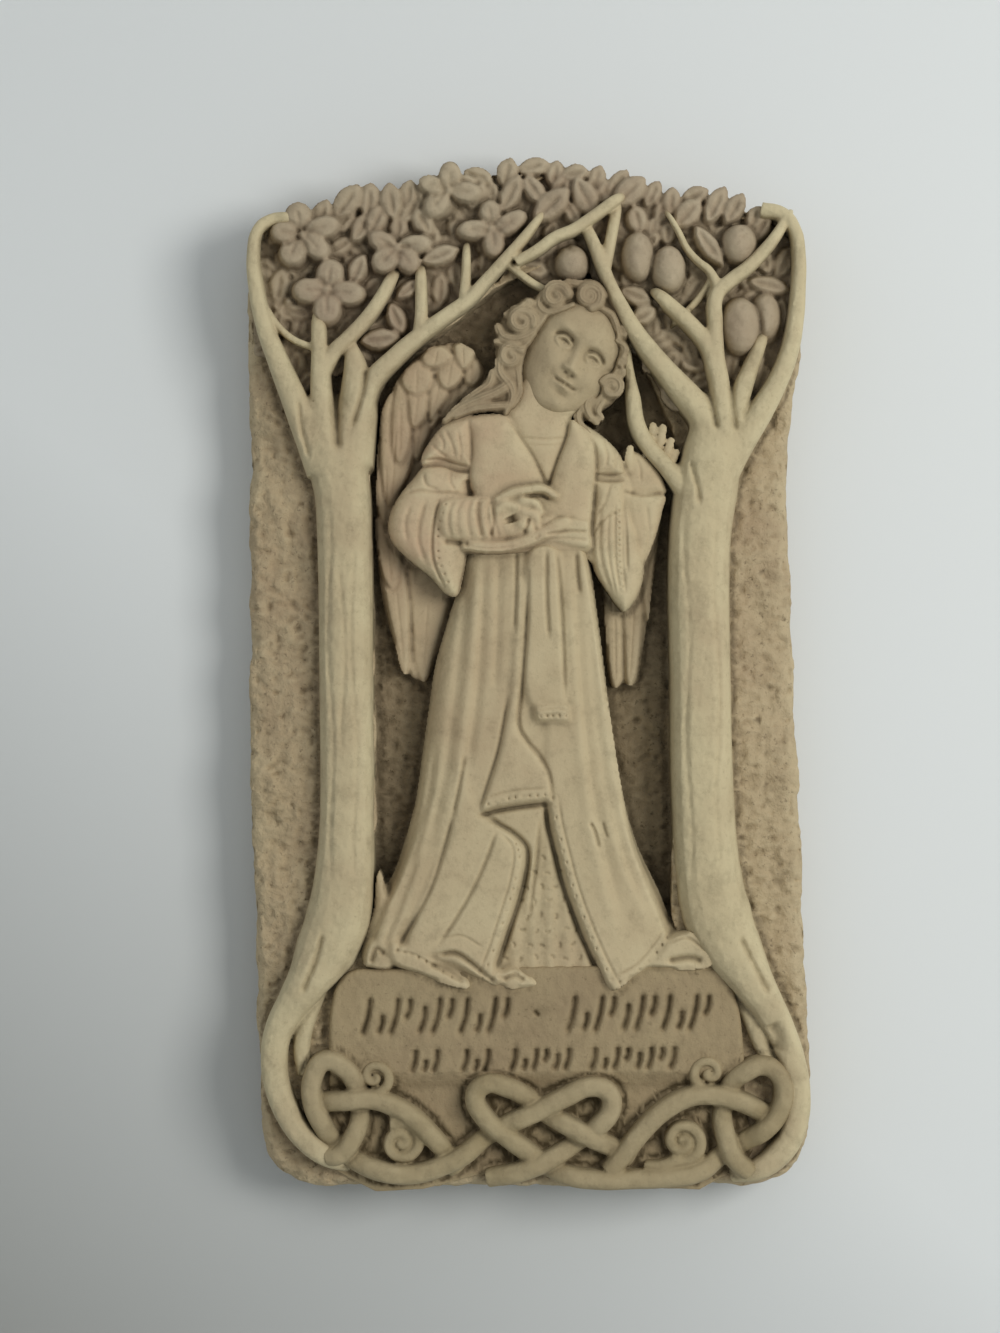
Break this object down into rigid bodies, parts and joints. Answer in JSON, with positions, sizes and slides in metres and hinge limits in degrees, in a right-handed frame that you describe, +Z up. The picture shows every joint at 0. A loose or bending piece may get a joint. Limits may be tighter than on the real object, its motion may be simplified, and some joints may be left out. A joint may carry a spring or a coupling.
{
  "type": "angel wall plaque",
  "caption": "Tall cast relief plaque: a winged angel in a niche between two trees, leaf and fruit canopy above, knotwork and a lettered stone below, made to hang on a wall.",
  "frame": {"origin": "On the flat back, at the middle of the plaque's width and height, where it lies against the wall (mount wall_back).", "axes": "+X to the viewer's right across the plaque, +Y out of the back into the wall, +Z up the plaque. The relief faces -Y."},
  "size_m": [0.1536, 0.0306, 0.2823],
  "materials": {
    "cast_stone": "matt cast stone, warm buff on the raised forms with a dark brown wash in the recesses"
  },
  "bodies": {
    "root": {"angel_plaque": "cast_stone"}
  },
  "joints": []
}
